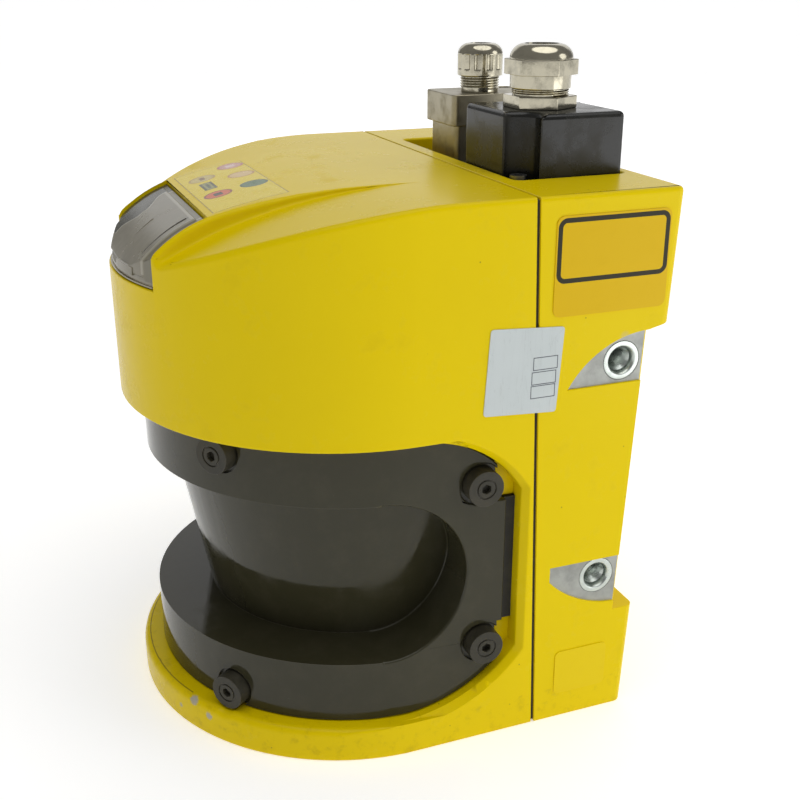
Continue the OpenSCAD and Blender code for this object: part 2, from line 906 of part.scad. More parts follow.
module segment_display() {
    color("black") at_display() translate([-digit_w / 2, display_front + 4, board_t / 2])
        cube([digit_w, digit_l, digit_t]);
}

module status_lamps() {
    color("tomato") at_display() for (side = [-1, 1], x = lamp_x)
        translate([side * x, display_front + 10, board_t / 2]) {
            cylinder(r = lamp_r, h = 2 * lamp_r);
            translate([0, 0, 2 * lamp_r]) sphere(lamp_r, $fn = 32);
        }
}

module thread_inserts() {
    color("silver") at_threads() difference() {
        insert_form(0);
        translate([-thread_l, 0, 0]) rod_x(thread_r, thread_l + over);
        translate([-lead_in_h, 0, 0]) rotate([0, 90, 0])
            cylinder(r1 = thread_r, r2 = thread_r + lead_in * (1 + over / lead_in_h), h = lead_in_h + over);
    }
}

// A thin plate on the right side face, from its front lower corner
module side_plate(at, size, r, turn = 0) {
    translate([body_r, at[0], at[1]]) rotate([turn, 0, 0]) rotate([90, 0, 90])
        linear_extrude(plate_t) rounded_rect(size[0], size[1], r);
}

module amber_plate() {
    color("orange") side_plate(amber_at, amber_size, 2.5);
}

module inspection_sticker() {
    color("whitesmoke") side_plate(sticker_at, sticker_size, 1, sticker_turn);
}

module small_plate() {
    color("orange") side_plate(small_at, small_size, 2);
}

// A plug's outline from its left front corner, narrowed by inset
module plug_plan(w, d, inset) {
    translate([inset, inset]) rounded_rect(w - 2 * inset, d - 2 * inset, plug_corner_r);
}

module system_plug() {
    channels = [[channel_x, channel_y], [plug_w - channel_x, plug_d - channel_y]];
    color("black") difference() {
        translate([plug_x, plug_front_y, plug_foot]) difference() {
            linear_extrude(plug_top - plug_foot) plug_plan(plug_w, plug_d, 0);
            for (c = channels) translate([c[0], c[1], channel_z - plug_foot])
                cylinder(r = channel_r, h = far);
            // hollow, open below, with a thick corner round each screw
            translate([0, 0, -over]) linear_extrude(plug_top - plug_foot - plug_wall + over) difference() {
                plug_plan(plug_w, plug_d, plug_wall);
                for (c = channels) translate(c) circle(channel_r + plug_wall);
            }
        }
        for (s = plug_screw_spots) translate([s[0], s[1], plug_foot - over])
            cylinder(r = plug_screw_r + fit, h = far);
        translate([large_x, large_y, plug_foot]) cylinder(r = large_stem_r + fit, h = far);
    }
}

module system_plug_seal() {
    color("dimgray") translate([plug_x, plug_front_y, bay_z]) linear_extrude(plug_seal_t) difference() {
        plug_plan(plug_w, plug_d, 0.4);
        plug_plan(plug_w, plug_d, 1.3);
    }
}

module metal_plug() {
    waist = 1.6;
    waist_z = body_h + 9;
    color("silver") difference() {
        translate([metal_x, metal_y, 0]) difference() {
            union() {
                translate([0, 0, waist_z]) linear_extrude(metal_top - waist_z) plug_plan(metal_w, metal_d, 0);
                translate([0, 0, plug_foot]) linear_extrude(waist_z - plug_foot)
                    plug_plan(metal_w, metal_d, waist);
            }
            translate([0, 0, plug_foot - over]) linear_extrude(metal_top - plug_foot - plug_wall + over)
                difference() {
                    plug_plan(metal_w, metal_d, waist + plug_wall);
                    translate([metal_screw_in, metal_d - metal_screw_in]) circle(5);
                }
        }
        translate([small_x, small_y, plug_foot]) cylinder(r = small_stem_r + fit, h = far);
        translate([plug_screw_spots[2][0], plug_screw_spots[2][1], 0]) {
            cylinder(r = plug_screw_r + fit, h = far);
            translate([0, 0, plug_screw_spots[2][2]]) cylinder(r = plug_screw_head_r + 0.3, h = far);
        }
    }
}

module metal_plug_seal() {
    color("dimgray") translate([metal_x, metal_y, bay_z]) linear_extrude(plug_seal_t) difference() {
        plug_plan(metal_w, metal_d, 2);
        plug_plan(metal_w, metal_d, 4.4);
        translate([metal_screw_in, metal_d - metal_screw_in]) circle(2);
    }
}

module plug_screws() {
    tip_z = bay_z - wall + 0.5;
    color("silver") for (s = plug_screw_spots) translate([s[0], s[1], 0]) difference() {
        union() {
            translate([0, 0, tip_z]) cylinder(r = plug_screw_r, h = s[2] - tip_z + over);
            translate([0, 0, s[2]]) cylinder(r = plug_screw_head_r, h = plug_screw_head_h);
        }
        translate([0, 0, s[2] + 1.5]) cylinder(r = 1.4, h = far, $fn = 6);
    }
}

module contact_block() {
    flange = 3;
    low = bay_z - wall - flange;
    color("ivory") for (c = sockets) {
        translate([c[0] - c[1] + fit, socket_y + fit, low])
            cube([2 * (c[1] - fit), socket_d - 2 * fit, plug_foot + 5 - low]);
        translate([c[0] - c[1] - flange / 2, socket_y - flange / 2, low])
            cube([2 * c[1] + flange, socket_d + flange, flange]);
    }
}

// A gland body: hexagon, threaded neck and a stem through the plug's top, bored for the cable
module gland_body(across, hex_h, neck_r, neck_top, low_r, low_h, bore) {
    color("silver") difference() {
        union() {
            translate([0, 0, -low_h]) cylinder(r = low_r, h = low_h + hex_h);
            cylinder(r = across / sqrt(3), h = hex_h, $fn = 6);
            cylinder(r = neck_r, h = neck_top);
        }
        translate([0, 0, -low_h - over]) cylinder(r = bore + body_bore_gap, h = far);
        translate([0, 0, hex_h]) cylinder(r = neck_r - gland_wall, h = far);
    }
}

// The rubber grip inside a gland, with a short spigot into the body's bore and the nut's mouth
module gland_insert(r, low, high, bore) {
    color("black") difference() {
        union() {
            translate([0, 0, low]) cylinder(r = r, h = high - low);
            translate([0, 0, low - spigot]) cylinder(r = bore + body_bore_gap - fit, h = 2 * spigot);
            translate([0, 0, high - spigot]) cylinder(r = bore + nut_bore_gap - fit, h = 2 * spigot);
        }
        cylinder(r = bore, h = far, center = true);
    }
}

module large_gland_body() {
    translate([large_x, large_y, plug_top])
        gland_body(large_af, large_hex_h, large_neck_r, large_neck_h, large_stem_r, gland_sink, large_bore_r);
}

module large_gland_nut() {
    dome_round = large_top_z - large_dome_z;
    color("silver") translate([large_x, large_y, plug_top]) difference() {
        union() {
            translate([0, 0, large_nut_z]) cylinder(r = large_nut_r, h = large_dome_z - large_nut_z);
            translate([0, 0, large_band_z])
                cylinder(r = large_af / sqrt(3), h = large_dome_z - large_band_z, $fn = 6);
            rotate_extrude() {
                square([large_dome_r - dome_round, large_top_z]);
                translate([large_dome_r - dome_round, large_dome_z]) intersection() {
                    circle(dome_round);
                    square(far);
                }
            }
        }
        translate([0, 0, -over]) cylinder(r = large_neck_r + 0.2, h = large_neck_h + over + 1);
        cylinder(r = large_bore_r + nut_bore_gap, h = far);
    }
}

module large_gland_insert() {
    translate([large_x, large_y, plug_top])
        gland_insert(large_neck_r - gland_wall - fit, large_hex_h, large_neck_h + 1, large_bore_r);
}

module small_gland_body() {
    translate([small_x, small_y, metal_top])
        gland_body(1.7 * small_neck_r, small_hex_h, small_neck_r, small_neck_h,
            small_stem_r, gland_sink, small_bore_r);
}

module small_gland_nut() {
    edge = 4;
    color("silver") translate([small_x, small_y, metal_top]) difference() {
        rotate_extrude() {
            translate([0, small_nut_z]) square([small_nut_r, small_top_z - edge - small_nut_z]);
            translate([0, small_nut_z]) square([small_nut_r - edge, small_top_z - small_nut_z]);
            translate([small_nut_r - edge, small_top_z - edge]) intersection() {
                circle(edge);
                square(far);
            }
        }
        // grip flutes
        for (a = [0:30:330]) rotate([0, 0, a]) translate([small_nut_r + 0.8, 0, small_nut_z + 2.4])
            cylinder(r = 1.5, h = 5, $fn = 24);
        cylinder(r = small_neck_r + 0.2, h = small_neck_h + 0.8);
        cylinder(r = small_bore_r + nut_bore_gap, h = far);
    }
}

module small_gland_insert() {
    translate([small_x, small_y, metal_top])
        gland_insert(small_neck_r - gland_wall - fit, small_hex_h, small_neck_h + 0.8, small_bore_r);
}

module main_board() {
    h = main_board_z[1] - main_board_z[0];
    color("darkgreen") translate([0, main_board_y - board_t, 0]) difference() {
        translate([-main_board_half_w, 0, main_board_z[0]]) cube([2 * main_board_half_w, board_t, h]);
        translate([0, board_t - main_board_y, 0]) at_board_screws()
            translate([0, -far / 2, 0]) rod_y(board_screw_r + 0.2, far);
    }
}

module board_screws() {
    color("silver") at_board_screws() translate([0, -board_t, 0]) {
        translate([0, -2, 0]) rod_y(board_screw_r + 1.4, 2);
        rod_y(board_screw_r, board_screw_l);
    }
}

module processor() {
    middle_z = (main_board_z[0] + main_board_z[1]) / 2;
    color("black")
        translate([-processor_w / 2, main_board_y - board_t - processor_t, middle_z - processor_w / 2])
            cube([processor_w, processor_t, processor_w]);
}

module optics_frame() {
    color("silver") difference() {
        union() {
            translate([-frame_half_w, frame_y, frame_low])
                cube([2 * frame_half_w, frame_t, frame_top - frame_low]);
            for (z = [motor_z - shelf_t, shelf_z]) translate([0, 0, z]) {
                cylinder(r = tube_r + 4, h = shelf_t);
                translate([-tube_r - 4, 0, 0]) cube([2 * tube_r + 8, frame_y + over, shelf_t]);
            }
        }
        at_frame_screws() translate([0, -over, 0]) rod_y(shank_r + fit, far);
        translate([0, 0, shelf_z - over]) cylinder(r = tube_r + fit, h = far);
        translate([0, 0, motor_z - shelf_t - over]) cylinder(r = bearing_r - 2, h = shelf_t + 2 * over);
    }
}

module frame_screws() {
    color("silver") at_frame_screws() {
        translate([0, -frame_screw_head[1], 0]) rod_y(frame_screw_head[0], frame_screw_head[1]);
        rod_y(shank_r, frame_t + 2.5);
    }
}

module motor_stator() {
    color("steelblue") translate([0, 0, motor_z]) difference() {
        cylinder(r = motor_r, h = stator_h);
        translate([0, 0, -over]) cylinder(r = bearing_r - 1, h = far);
        translate([0, 0, -over]) cylinder(r = bearing_r + fit, h = bearing_h + over);
        translate([0, 0, stator_h - bearing_h]) cylinder(r = bearing_r + fit, h = far);
        // winding slots
        for (a = [0:30:330]) rotate([0, 0, a]) translate([motor_r - 4, -1, 2]) cube([far, 2, stator_h - 4]);
    }
}

module motor_bearings() {
    color("silver") for (z = [motor_z, motor_z + stator_h - bearing_h]) translate([0, 0, z]) difference() {
        cylinder(r = bearing_r, h = bearing_h);
        translate([0, 0, -over]) cylinder(r = shaft_r + fit, h = far);
    }
}

module motor_shaft() {
    color("silver") translate([0, 0, motor_z + 0.5]) cylinder(r = shaft_r, h = shaft_top - motor_z - 0.5);
}

module encoder_disc() {
    disc_r = motor_r + 4.5;
    color("lightblue") translate([0, 0, disc_z]) difference() {
        cylinder(r = disc_r, h = disc_t);
        translate([0, 0, -over]) cylinder(r = shaft_r, h = far);
        for (a = [0:10:350]) rotate([0, 0, a]) translate([disc_r - 3.4, -0.6, -over]) cube([2, 1.2, far]);
    }
}

// Places children at the mirror's centre, with Z along its normal
module at_mirror() {
    translate([0, 0, beam_z]) rotate([45, 0, 0]) children();
}

module mirror_carrier() {
    color("gray") difference() {
        translate([0, 0, carrier_z]) cylinder(r = mirror_r - 1, h = beam_z + mirror_r - carrier_z);
        at_mirror() translate([-far / 2, -far / 2, -mirror_t]) cube(far);
        translate([0, 0, carrier_z - over]) cylinder(r = shaft_r, h = shaft_top - carrier_z + over);
    }
}

module scan_mirror() {
    color("lightcyan") at_mirror() translate([0, 0, -mirror_t]) cylinder(r = mirror_r, h = mirror_t);
}

module encoder_sensor() {
    reach = motor_r + 1;
    color("black") difference() {
        translate([-6, reach, disc_z - 3]) cube([12, frame_y - reach, 7]);
        translate([-7, reach - over, disc_z - 0.8]) cube([14, 5.5 + over, disc_t + 1.6]);
    }
}

module lens_tube() {
    color("dimgray") difference() {
        union() {
            translate([0, 0, tube_low]) cylinder(r = tube_r, h = tube_top - tube_low);
            translate([0, 0, shelf_z + shelf_t]) cylinder(r = tube_r + 3, h = 2);
        }
        translate([0, 0, lens_z]) cylinder(r = lens_r + fit, h = far);
        translate([0, 0, tube_low - over]) cylinder(r = lens_r - 1.5, h = far);
    }
}

module receiving_lens() {
    sag = lens_sphere_r - sqrt(lens_sphere_r * lens_sphere_r - lens_r * lens_r);
    color("lightblue") translate([0, 0, lens_z]) difference() {
        intersection() {
            cylinder(r = lens_r, h = lens_t + sag);
            translate([0, 0, lens_t + sag - lens_sphere_r]) sphere(lens_sphere_r);
        }
        translate([0, 0, -over]) cylinder(r = barrel_r + fit, h = far);
    }
}

module receiver_board() {
    color("darkgreen") translate([0, 0, tube_top]) cylinder(r = tube_r + 1, h = board_t);
}

module laser_barrel() {
    color("goldenrod") translate([0, 0, barrel_z]) difference() {
        cylinder(r = barrel_r, h = barrel_l);
        translate([0, 0, -over]) cylinder(r = diode_r, h = far);
    }
}

module laser_diode() {
    low = barrel_z + barrel_l - diode_in;
    color("silver") translate([0, 0, low]) cylinder(r = diode_r, h = tube_top - low);
}

module window_monitor() {
    color("darkgreen") difference() {
        translate([0, 0, monitor_z]) difference() {
            cylinder(r = monitor_r + monitor_half_w, h = board_t);
            translate([0, 0, -over]) cylinder(r = monitor_r - monitor_half_w, h = far);
        }
        translate([-far, 0, 0]) cube([2 * far, far, far]);
        at_front_screws() translate([cover_in_r - lug_l - over, -lug_w / 2 - over, 0])
            cube([far, lug_w + 2 * over, far]);
    }
    color("ivory") for (a = [-1, 0, 1]) rotate([0, 0, a * monitor_lamp_a - 90])
        translate([monitor_r, 0, monitor_z + board_t]) cylinder(r = monitor_lamp_r, h = monitor_lamp_h);
}

front_housing();
rear_housing();
housing_seal();
housing_bolts();
optics_cover();
cover_seal();
cover_screws();
display_window();
display_board();
segment_display();
status_lamps();
status_foil();
thread_inserts();
amber_plate();
inspection_sticker();
small_plate();
system_plug();
system_plug_seal();
plug_screws();
contact_block();
large_gland_body();
large_gland_nut();
large_gland_insert();
metal_plug();
metal_plug_seal();
small_gland_body();
small_gland_nut();
small_gland_insert();
main_board();
board_screws();
processor();
optics_frame();
frame_screws();
motor_stator();
motor_bearings();
motor_shaft();
mirror_carrier();
scan_mirror();
encoder_disc();
encoder_sensor();
lens_tube();
receiving_lens();
receiver_board();
laser_barrel();
laser_diode();
window_monitor();
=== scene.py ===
"""A safety laser scanner: its looks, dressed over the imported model."""

import json
import math

from contextlib import contextmanager

import bmesh
import bpy
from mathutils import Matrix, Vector


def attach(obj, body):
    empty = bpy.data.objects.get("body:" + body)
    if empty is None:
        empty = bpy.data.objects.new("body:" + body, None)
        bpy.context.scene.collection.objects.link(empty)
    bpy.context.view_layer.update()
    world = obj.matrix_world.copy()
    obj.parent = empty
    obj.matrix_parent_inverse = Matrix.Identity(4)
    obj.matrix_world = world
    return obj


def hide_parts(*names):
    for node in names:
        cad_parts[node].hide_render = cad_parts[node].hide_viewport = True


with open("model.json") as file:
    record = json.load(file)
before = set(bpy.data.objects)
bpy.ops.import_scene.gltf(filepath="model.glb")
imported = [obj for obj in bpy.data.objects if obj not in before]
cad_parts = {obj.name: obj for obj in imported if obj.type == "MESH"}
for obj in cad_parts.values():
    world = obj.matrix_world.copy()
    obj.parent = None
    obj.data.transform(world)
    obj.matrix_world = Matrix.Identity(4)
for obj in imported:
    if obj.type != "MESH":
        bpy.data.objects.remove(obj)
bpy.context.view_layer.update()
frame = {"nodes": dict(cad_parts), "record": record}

MM = 0.001

# Places on the scanner in millimetres, with the mirror's axis at x 0 and y 0, and the ground at z 0
HALF_W = 77.5  # the side faces, and the radius of the round front
NOSE_Y = -2.5  # the centre of the round front
COVER_R = 72.8  # the outside of the optics cover
TOP_Z = 185
BASE_TOP_Z = 12
HOOD_Z = 112  # the underside of the hood
SLOT_LOW_Z, SLOT_TOP_Z = 34, 91
CROWN_R, SHOULDER_R = 200, 175  # the arcs along the top
SHOULDER_Y = 12  # where the shoulders start to fall
SEAT_X = 76.7  # the machined faces round the mounting threads
THREADS = ((66.2, 131), (62.6, 54))  # y and z of the mounting threads
BAY_HALF_W = 50
LARGE_GLAND = Vector((28.2, 58.9, 0))
SMALL_GLAND = Vector((-20.2, 59.6, 0))
PANE_X, PANE_Y, PANE_Z = 28.4, -56.6, 159.2  # the edges of the window's raised pane
BROW = (0, -40.0, 133.7)  # the centre of the crown's front arc
NOSE = (0, NOSE_Y, 0)


def srgb(red, green, blue):
    """A colour given as 0 to 255 per channel, as the shader wants it."""

    def linear(c):
        c /= 255
        return c / 12.92 if c <= 0.04045 else ((c + 0.055) / 1.055) ** 2.4

    return (linear(red), linear(green), linear(blue), 1.0)


def shade(tone, share):
    """A darker shade of a tone."""
    return srgb(*(channel * share for channel in tone))


# ---------------------------------------------------------------- material maker


class Field:
    """A value that varies over a surface, with ordinary arithmetic."""

    def __init__(self, finish, socket):
        self.finish, self.socket = finish, socket

    def math(self, operation, *values):
        return self.finish.add("Math", {"operation": operation}, dict(enumerate(values)))

    def __add__(self, other):
        return self.math("ADD", self, other)

    def __sub__(self, other):
        return self.math("SUBTRACT", self, other)

    def __rsub__(self, other):
        return self.math("SUBTRACT", other, self)

    def __mul__(self, other):
        return self.math("MULTIPLY", self, other)

    def __pow__(self, other):
        return self.math("POWER", self, other)

    def __lt__(self, other):
        return self.math("LESS_THAN", self, other)

    def __gt__(self, other):
        return self.math("GREATER_THAN", self, other)

    __radd__, __rmul__ = __add__, __mul__

    def __abs__(self):
        return self.math("ABSOLUTE", self)

    def highest(self, other):
        return self.math("MAXIMUM", self, other)

    def rise(self, start, end):
        """0 at start, 1 at end, and smooth between; it falls where end is below start."""
        flip = end < start
        low, high = (end, start) if flip else (start, end)
        found = self.finish.add(
            "MapRange",
            {"interpolation_type": "SMOOTHSTEP"},
            {"Value": self, "From Min": low, "From Max": high},
        )
        return 1 - found if flip else found


class Finish:
    """A material under construction. Lengths in it are in millimetres."""

    def __init__(self, name):
        self.material = bpy.data.materials.new(name)
        self.material.use_nodes = True
        self.tree = self.material.node_tree
        self.tree.nodes.clear()
        here = self.add("TexCoord", output="Object")
        self.place = self.add("VectorMath", {"operation": "SCALE"}, {0: here, "Scale": 1 / MM})
        self.x, self.y, self.z = (
            self.add("SeparateXYZ", inputs={0: self.place}, output=axis) for axis in "XYZ"
        )

    def add(self, kind, settings=None, inputs=None, output=0):
        """Adds a node: its settings first, then the values or links of its sockets."""
        node = self.tree.nodes.new("ShaderNode" + kind)
        for key, value in (settings or {}).items():
            setattr(node, key, value)
        for key, value in (inputs or {}).items():
            if isinstance(value, Field):
                self.tree.links.new(value.socket, node.inputs[key])
            else:
                node.inputs[key].default_value = value
        return Field(self, node.outputs[output]) if len(node.outputs) else None

    def noise(self, size, detail=2, roughness=0.5, stretch=(1, 1, 1), shift=0):
        """Noise of 0 to 1 whose lumps are about size millimetres."""
        place = self.add(
            "Mapping",
            inputs={
                "Vector": self.place,
                "Location": (shift, shift, shift),
                "Scale": tuple(1 / s for s in stretch),
            },
        )
        return self.add(
            "TexNoise",
            inputs={"Vector": place, "Scale": 1 / size, "Detail": detail, "Roughness": roughness},
        )

    def cells(self, size, randomness=1):
        """0 in the middle of each cell, rising outwards; a cell is about size millimetres."""
        return self.add(
            "TexVoronoi",
            inputs={"Vector": self.place, "Scale": 1 / size, "Randomness": randomness},
            output="Distance",
        )

    def distance(self, *centre):
        """How far a spot is from centre."""
        return self.add(
            "VectorMath", {"operation": "DISTANCE"}, {0: self.place, 1: centre}, "Value"
        )

    def flat_distance(self, x, y):
        """How far a spot is from an upright axis."""
        return ((self.x - x) ** 2 + (self.y - y) ** 2) ** 0.5

    def box(self, across, up, middle_across, middle_up, half_w, half_h):
        """1 inside a rectangle, else 0."""
        inside = abs(across - middle_across) < half_w
        return inside * (abs(up - middle_up) < half_h)

    def frame_line(self, across, up, middle_across, middle_up, half_w, half_h, line):
        """1 on a frame of that line width round a rectangle, else 0."""
        out_w = abs(across - middle_across) - half_w
        out_h = abs(up - middle_up) - half_h
        return abs(out_w.highest(out_h)) < line / 2

    def rounded_frame(self, across, up, middle_across, middle_up, half_w, half_h, radius, line):
        """1 on a frame of that line width round a rectangle with round corners, else 0."""
        out_w = (abs(across - middle_across) - (half_w - radius)).highest(0)
        out_h = (abs(up - middle_up) - (half_h - radius)).highest(0)
        away = (out_w**2 + out_h**2) ** 0.5
        near = abs(away - radius) < line / 2
        return near * ((out_w + out_h) > 0)

    def mix(self, factor, first, second):
        """The first colour where factor is 0, and the second where it is 1."""
        return self.add("Mix", {"data_type": "RGBA"}, {0: factor, 6: first, 7: second}, 2)

    def bump(self, height, depth):
        """A normal for a relief of that height, times depth millimetres."""
        return self.add("Bump", inputs={"Height": height, "Distance": depth * MM, "Strength": 1.0})

    def edges(self, radius):
        """Near 1 where an outer or inner edge lies within radius millimetres, else 0."""
        soft = self.add("Bevel", {"samples": 6}, {"Radius": radius * MM})
        true = self.add("NewGeometry", output="True Normal")
        turn = self.add("VectorMath", {"operation": "DOT_PRODUCT"}, {0: soft, 1: true}, "Value")
        return (1 - turn).rise(0.02, 0.3)

    def surface(self, **sockets):
        """Closes the material with a surface whose sockets are given by name."""
        names = {key.replace("_", " ").title().replace("Ior", "IOR"): v for key, v in sockets.items()}
        shader = self.add("BsdfPrincipled", inputs=names)
        self.add("OutputMaterial", inputs={"Surface": shader})
        return self.material


# ---------------------------------------------------------------- painted and bare castings

# Chips in the paint at the base rim: place and radius
RIM_CHIPS = (
    (37.2, -70.5, 11.1, 2.4),
    (43.8, -66.5, 8, 1.8),
    (30.5, -73.5, 5.5, 1.2),
)
EDGE_KNOCK = (77.5, 66.4, 139.3)  # a knock in the paint under the rear casting's head
SCRATCH_R = 75.3  # a scratch round the base plate


def yellow_paint():
    """Glossy powder coat with fine orange peel, a few chips, and dirt at the foot."""
    f = Finish("yellow_paint")
    tone = f.noise(60, 3, 0.55)
    peel = f.noise(1.6, 1)
    fine = f.noise(0.5, 2)
    dirt = f.noise(14, 6, 0.68, shift=31).rise(0.56, 0.74)
    specks = f.cells(9).rise(0.035, 0.022)
    dull = f.noise(3.2, 4, 0.6, shift=7).rise(0.73, 0.75)
    rub = f.noise(5, 5, 0.7, shift=17).rise(0.5, 0.75)
    body = f.mix(tone, srgb(235, 208, 0), srgb(230, 201, 0))
    body = f.mix(dirt * 0.1, body, srgb(168, 138, 20))
    body = f.mix(specks * 0.6, body, srgb(110, 92, 40))
    scratch = abs(f.flat_distance(0, NOSE_Y) + rub * 0.3 - SCRATCH_R).rise(0.3, 0.12)
    scratch = scratch * (f.z < BASE_TOP_Z + 2) * (f.z > BASE_TOP_Z - 2) * (f.x < 34) * (f.y < -40)
    body = f.mix(scratch * 0.7, body, srgb(104, 82, 8))
    knocks = f.distance(*EDGE_KNOCK).rise(2.2, 0.6) * tone * 0.8
    for x, y, z, size in RIM_CHIPS:
        knocks = knocks.highest((f.distance(x, y, z) + fine * 2).rise(size + 1, size))
    body = f.mix(knocks, body, srgb(182, 177, 162))
    body = f.mix((f.z < BASE_TOP_Z + 0.5) * rub * 0.3, body, srgb(150, 122, 22))
    return f.surface(
        base_color=body,
        roughness=0.27 + dirt * 0.12 + dull * 0.2,
        specular_ior_level=0.1,
        normal=f.bump(peel * 0.8 + fine * 0.1, 0.03),
    )


def bare_casting():
    """Unpainted cast metal, milled flat round the mounting threads."""
    f = Finish("bare_casting")
    tone = (168, 170, 165)
    grain = f.noise(0.9, 4, 0.65)
    patch = f.noise(7, 4, 0.6, shift=5)
    colour = f.mix(patch.rise(0.3, 0.75), srgb(*tone), shade(tone, 0.84))
    colour = f.mix(f.edges(0.5) * 0.5, colour, srgb(206, 207, 200))
    return f.surface(
        base_color=colour,
        metallic=0.85,
        roughness=0.42 + grain * 0.16,
        normal=f.bump(grain, 0.06),
    )


# ---------------------------------------------------------------- metals, plastics and glass


def metal(name, tone, roughness, grain_size=0.6, depth=0.01, stretch=(1, 1, 1), dulling=0.25):
    """Metal with a fine grain and duller stains."""
    f = Finish(name)
    grain = f.noise(grain_size, 3, 0.6, stretch)
    stain = f.noise(5, 5, 0.65, shift=11).rise(0.4, 0.75)
    return f.surface(
        base_color=f.mix(stain * dulling, srgb(*tone), shade(tone, 0.55)),
        metallic=1.0,
        roughness=roughness + stain * 0.14 + grain * 0.05,
        normal=f.bump(grain, depth),
    )


def plastic(
    name, tone, roughness, grain_size=0.4, depth=0.02, dust=0.2, edge_wear_and_highlight=0.3, shine=0.5, edge=0.5
):
    """Moulded plastic or rubber with a film of dust, lint, and edges lighter, partly worn and partly
    as a painted highlight.
    """
    f = Finish(name)
    grain = f.noise(grain_size, 2)
    film = f.noise(11, 5, 0.65, shift=3).rise(0.42, 0.72)
    lint = f.noise(1.3, 5, 0.75, shift=9).rise(0.66, 0.74)
    colour = f.mix(film * dust, srgb(*tone), srgb(140, 132, 112))
    colour = f.mix(lint * dust, colour, srgb(178, 170, 150))
    # Lighter edges: partly wear, partly a painted highlight
    colour = f.mix(f.edges(edge) * edge_wear_and_highlight, colour, srgb(168, 162, 148))
    return f.surface(
        base_color=colour,
        roughness=roughness + film * 0.18 + lint * 0.2,
        specular_ior_level=shine,
        normal=f.bump(grain, depth),
    )


def clear(name, tone, roughness, transmission):
    """Glass or clear plastic with a slight haze."""
    f = Finish(name)
    haze = f.noise(6, 5, 0.6).rise(0.35, 0.75)
    return f.surface(
        base_color=f.mix(haze, srgb(*tone), shade(tone, 0.9)),
        roughness=roughness + haze * 0.12,
        transmission_weight=transmission,
        ior=1.5,
        normal=f.bump(f.noise(0.8, 3), 0.01),
    )


def circuit_board():
    """Green board with tracks and gilt pads."""
    f = Finish("circuit_board")
    tracks = f.add(
        "TexBrick",
        {"offset": 0.5},
        {"Vector": f.place, "Scale": 0.35, "Mortar Size": 0.09},
        "Fac",
    )
    pads = f.cells(3.1, randomness=0.6).rise(0.24, 0.16)
    colour = f.mix(tracks, srgb(20, 92, 54), srgb(34, 120, 70))
    return f.surface(
        base_color=f.mix(pads, colour, srgb(196, 170, 92)),
        roughness=0.35 + pads * 0.1,
        metallic=pads * 0.9,
        normal=f.bump(tracks + pads, 0.04),
    )


# ---------------------------------------------------------------- foil, plates and window

# Plain lamp fields on the foil: middle, then the colours of rim and inside
LAMP_FIELDS = (
    (-26.7, -33.2, (176, 96, 84), (206, 160, 146)),
    (-9.3, -33.4, (186, 132, 60), (222, 190, 130)),
    (8.9, -33.5, (66, 92, 60), (92, 120, 84)),
    (-17.8, -45.1, (176, 140, 60), (206, 186, 110)),
    (10.4, -45.7, (140, 62, 34), (216, 106, 62)),
)
LAMP_R, LAMP_INSIDE_R = 4.6, 3.9
# Plain bars on the foil, later ones over earlier ones: middle, half width, half length and colour
FOIL_BARS = (
    (-4.6, -45.7, 5.7, 2.1, (84, 82, 50)),
    (-4.6, -45.7, 5.0, 1.3, (150, 150, 92)),
    (-4.6, -45.7, 3.4, 0.5, (92, 96, 62)),
    (10.4, -45.7, 1.9, 1.4, (78, 62, 48)),
    (-26.7, -33.2, 1.6, 1.6, (228, 204, 196)),
    (-17.8, -45.1, 1.9, 0.9, (128, 92, 46)),
)
# Frame lines: middle, half width and half height. The foil's line is painted shade round its edge.
FOIL_EDGE_SHADE = (0, -40.2, 32.2, 11.8)
AMBER_FRAME = (60, 168.4, 18.6, 9.2)
STICKER_BOXES = ((38.5, 133.9), (38.1, 129.2), (37.95, 124.7))
STICKER_BOX_SIZE = (4.1, 2.0)
BETWEEN_PLATES_Z = 60  # the amber plate is above this, and the plain small plate below


def status_print():
    """The foil on the crown, with plain fields and painted shade as a thin dark line round its edge.
    """
    f = Finish("foil_print")
    rub = f.noise(4, 4, 0.7).rise(0.5, 0.8)
    colour = f.mix(rub * 0.1, srgb(232, 207, 0), srgb(214, 186, 60))
    for x, y, rim, inside in LAMP_FIELDS:
        away = f.flat_distance(x, y)
        colour = f.mix(away < LAMP_R, colour, srgb(*rim))
        colour = f.mix(away < LAMP_INSIDE_R, colour, srgb(*inside))
    for x, y, half_w, half_l, tone in FOIL_BARS:
        colour = f.mix(f.box(f.x, f.y, x, y, half_w, half_l), colour, srgb(*tone))
    # Painted shade: a thin dark line round the foil's edge
    border = f.frame_line(f.x, f.y, *FOIL_EDGE_SHADE, line=0.35)
    return f.surface(
        base_color=f.mix(border * 0.7, colour, srgb(136, 108, 10)),
        roughness=0.26 + rub * 0.12,
        specular_ior_level=0.2,
        normal=f.bump(f.noise(2.5, 2), 0.02),
    )


def amber_print():
    """Amber film with a dark frame line, and plain yellow on the small plate."""
    f = Finish("amber_print")
    rub = f.noise(5, 4, 0.7).rise(0.5, 0.8)
    colour = f.mix(f.z < BETWEEN_PLATES_Z, srgb(221, 182, 0), srgb(232, 204, 0))
    colour = f.mix(rub * 0.12, colour, srgb(200, 158, 20))
    border = f.rounded_frame(f.y, f.z, *AMBER_FRAME, radius=2.2, line=1.5)
    return f.surface(
        base_color=f.mix(border, colour, srgb(52, 50, 36)),
        roughness=0.34 + rub * 0.12,
        specular_ior_level=0.15,
        normal=f.bump(f.noise(2.5, 2), 0.02),
    )


